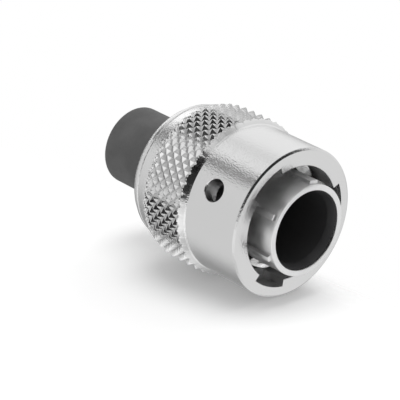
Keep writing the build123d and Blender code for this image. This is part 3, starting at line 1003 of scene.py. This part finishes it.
def paper(name, stage, light, fade=None):
    """White paper that shows the connector's shadow, and nothing from its back.

    The light is what falls on it, and the fade is where it is gone and where it is whole, in X."""
    material, tree = new_material(name)
    sheet = add_node(tree, "BsdfDiffuse", {"Color": stage.paper[:]})
    # the light on the paper leaves it a little under white; this lifts what the camera sees
    lift = max(0.0, PAPER_GLOW - stage.paper[0] * light)
    seen = add_node(tree, "LightPath").outputs["Is Camera Ray"]
    strength = add_node(tree, "Math", (seen, lift), operation="MULTIPLY")
    glow = add_node(tree, "Emission", {"Strength": strength})
    front = add_node(tree, "AddShader", (sheet, glow))
    geometry = add_node(tree, "NewGeometry").outputs
    gone = geometry["Backfacing"]
    if fade:
        place = add_node(tree, "SeparateXYZ", (geometry["Position"],))
        faded = add_node(tree, "MapRange", (place, *fade, 1.0, 0.0), **SOFT)
        gone = add_node(tree, "Math", (gone, faded), operation="MAXIMUM")
    clear = add_node(tree, "BsdfTransparent")
    sides = add_node(tree, "MixShader", (gone, front, clear))
    add_node(tree, "OutputMaterial", (sides,))
    return material


def flat_sheet(name, centre, facing, material):
    """Large square sheet that faces a direction and that only the camera sees."""
    corners = ((-1, -1), (1, -1), (1, 1), (-1, 1))
    mesh = bmesh.new()
    mesh.faces.new([mesh.verts.new((x * FLOOR_REACH, y * FLOOR_REACH, 0)) for x, y in corners])
    item = placed(name, mesh)
    item.rotation_euler = facing.to_track_quat("Z", "Y").to_euler()
    item.location = centre
    item.data.materials.append(material)
    item.visible_diffuse = item.visible_glossy = False
    item.visible_shadow = item.visible_transmission = False


def mirrored_studio(tree):
    """Brightness of the studio that the metal mirrors: a white tent with soft-edged dark places."""
    direction = add_node(tree, "TexCoord").outputs["Generated"]
    along = {}
    for axis in [patch[0] for patch in STUDIO_PATCHES + STUDIO_GAPS] + list(DARK_ROOM):
        dot = add_node(tree, "VectorMath", (direction, axis), operation="DOT_PRODUCT")
        along[tuple(axis)] = dot.outputs["Value"]
    height = along[tuple(PHOTO_FLOOR)]

    brightness = 1.0
    for axis, cosines, shades in STUDIO_PATCHES:
        patch = add_node(tree, "MapRange", (along[tuple(axis)], *cosines, *shades), **SOFT)
        brightness = add_node(tree, "Math", (brightness, patch), operation="MULTIPLY")

    backdrop = add_node(tree, "MapRange", (height, *STUDIO_BACKDROP, 1.0, 0.0), **SOFT)
    for axis, sines, dark in STUDIO_GAPS:
        aside = add_node(tree, "Math", (along[axis],), operation="ABSOLUTE")
        gap = add_node(tree, "MapRange", (aside, *sines, dark, 1.0), **SOFT)
        gap = add_node(tree, "Math", (gap, backdrop), operation="MAXIMUM")
        brightness = add_node(tree, "Math", (brightness, gap), operation="MULTIPLY")

    edge = (*DARK_ROOM_EDGE, 1.0, DARK_ROOM_BRIGHTNESS)
    sides = [add_node(tree, "MapRange", (along[axis], *edge), **SOFT) for axis in DARK_ROOM]
    room = add_node(tree, "Math", sides, operation="MINIMUM")
    floor = add_node(tree, "MapRange", (height, *DARK_ROOM_FLOOR, 1.0, 0.0), **SOFT)
    around_it = add_node(tree, "Math", (room, floor), operation="MAXIMUM")
    return add_node(tree, "Math", (brightness, around_it), operation="MULTIPLY")


def studio_world(ambient):
    """World that is white to the camera, level to diffuse surfaces and a studio to metal."""
    world = bpy.data.worlds.new("white surroundings")
    world.use_nodes = True
    tree = world.node_tree
    tree.nodes.clear()
    path = add_node(tree, "LightPath").outputs
    # light that reaches the paper by way of the metal comes from the shadow under the plug
    bounces = path["Diffuse Depth"]
    by_metal = add_node(tree, "MapRange", (bounces, 0.0, 1.0, 1.0, UNDER_PLUG), **SOFT)
    studio = add_node(tree, "Math", (mirrored_studio(tree), by_metal), operation="MULTIPLY")
    colour = linear("ffffff")
    soft = add_node(tree, "Background", (colour, ambient))
    white = add_node(tree, "Background", (colour, 1.0))
    mirrored = add_node(tree, "Background", (colour, studio))
    lit = add_node(tree, "MixShader", (path["Is Glossy Ray"], soft, mirrored))
    rays = (path["Is Camera Ray"], path["Is Transmission Ray"])
    seen = add_node(tree, "Math", rays, operation="MAXIMUM")
    mix = add_node(tree, "MixShader", (seen, lit, white))
    add_node(tree, "OutputWorld", (mix,))
    return world


class CONNECTOR_OT_photo_stage(bpy.types.Operator):
    """Sets up the paper floor, the light and the camera"""

    bl_idname = "connector.photo_stage"
    bl_label = "Photo Stage"

    def execute(self, context):
        scene = context.scene
        stage = scene.connector_stage
        scene.world = studio_world(stage.ambient)

        for name, direction, share, spread in LAMPS:
            lamp = bpy.data.lights.new(name, "SUN")
            lamp.energy = share * stage.key_light
            lamp.angle = radians(spread)
            item = bpy.data.objects.new(name, lamp)
            item.rotation_euler = direction.to_track_quat("Z", "Y").to_euler()
            item.location = direction.normalized() * LAMP_DISTANCE
            # the metal mirrors the studio that the world holds, and the lamps only cast shadows
            item.visible_glossy = False
            scene.collection.objects.link(item)

        # the plug lies on one floor in the photo, and stands on the other in the model
        floors = (
            ("photo floor", PHOTO_FLOOR, PHOTO_FLOOR_DROP, PHOTO_FLOOR_FADE),
            ("shelf floor", Vector((0, 0, 1)), 0.0, None),
        )
        for name, up, drop, fade in floors:
            light = stage.ambient + sum(
                max(0.0, up.dot(direction.normalized())) * share * stage.key_light / pi
                for _, direction, share, _ in LAMPS
            )
            flat_sheet(name, up * -drop, up, paper(name, stage, light, fade))

        camera = bpy.data.cameras.new("photo camera")
        camera.lens = stage.lens
        camera.sensor_width = 36.0
        camera.clip_start, camera.clip_end = 0.01, 10.0
        item = bpy.data.objects.new("photo camera", camera)
        item.location = stage.camera_place
        item.rotation_euler = Euler(stage.camera_turn)
        scene.collection.objects.link(item)
        scene.camera = item
        scene.view_settings.view_transform = "Standard"
        return {"FINISHED"}


PIECE_OPERATORS = (
    CONNECTOR_OT_coupling_nut,
    CONNECTOR_OT_plug_shell,
    CONNECTOR_OT_insulators,
    CONNECTOR_OT_contacts,
    CONNECTOR_OT_rubber_sleeve,
    CONNECTOR_OT_end_nut,
    CONNECTOR_OT_rings_and_seals,
    CONNECTOR_OT_photo_stage,
)


class CONNECTOR_PT_pieces(bpy.types.Panel):
    """Lists the connector's pieces and their settings"""

    bl_idname = "CONNECTOR_PT_pieces"
    bl_label = "Connector"
    bl_space_type = "VIEW_3D"
    bl_region_type = "UI"
    bl_category = "Connector"

    def draw(self, context):
        for operator in PIECE_OPERATORS:
            self.layout.operator(operator.bl_idname)
        for name, group in SETTINGS.items():
            box = self.layout.box()
            settings = getattr(context.scene, name)
            for setting in group.__annotations__:
                box.prop(settings, setting)


CLASSES = (*SETTINGS.values(), *PIECE_OPERATORS, CONNECTOR_PT_pieces)


def register():
    for cls in CLASSES:
        bpy.utils.register_class(cls)
    for name, group in SETTINGS.items():
        setattr(bpy.types.Scene, name, PointerProperty(type=group))


def unregister():
    for name in SETTINGS:
        delattr(bpy.types.Scene, name)
    for cls in reversed(CLASSES):
        bpy.utils.unregister_class(cls)


def main():
    """Builds every piece and the stage."""
    register()
    bpy.ops.connector.coupling_nut()
    bpy.ops.connector.plug_shell()
    bpy.ops.connector.insulators()
    bpy.ops.connector.contacts()
    bpy.ops.connector.rubber_sleeve()
    bpy.ops.connector.end_nut()
    bpy.ops.connector.rings_and_seals()
    bpy.ops.connector.photo_stage()


if __name__ == "__main__":
    main()
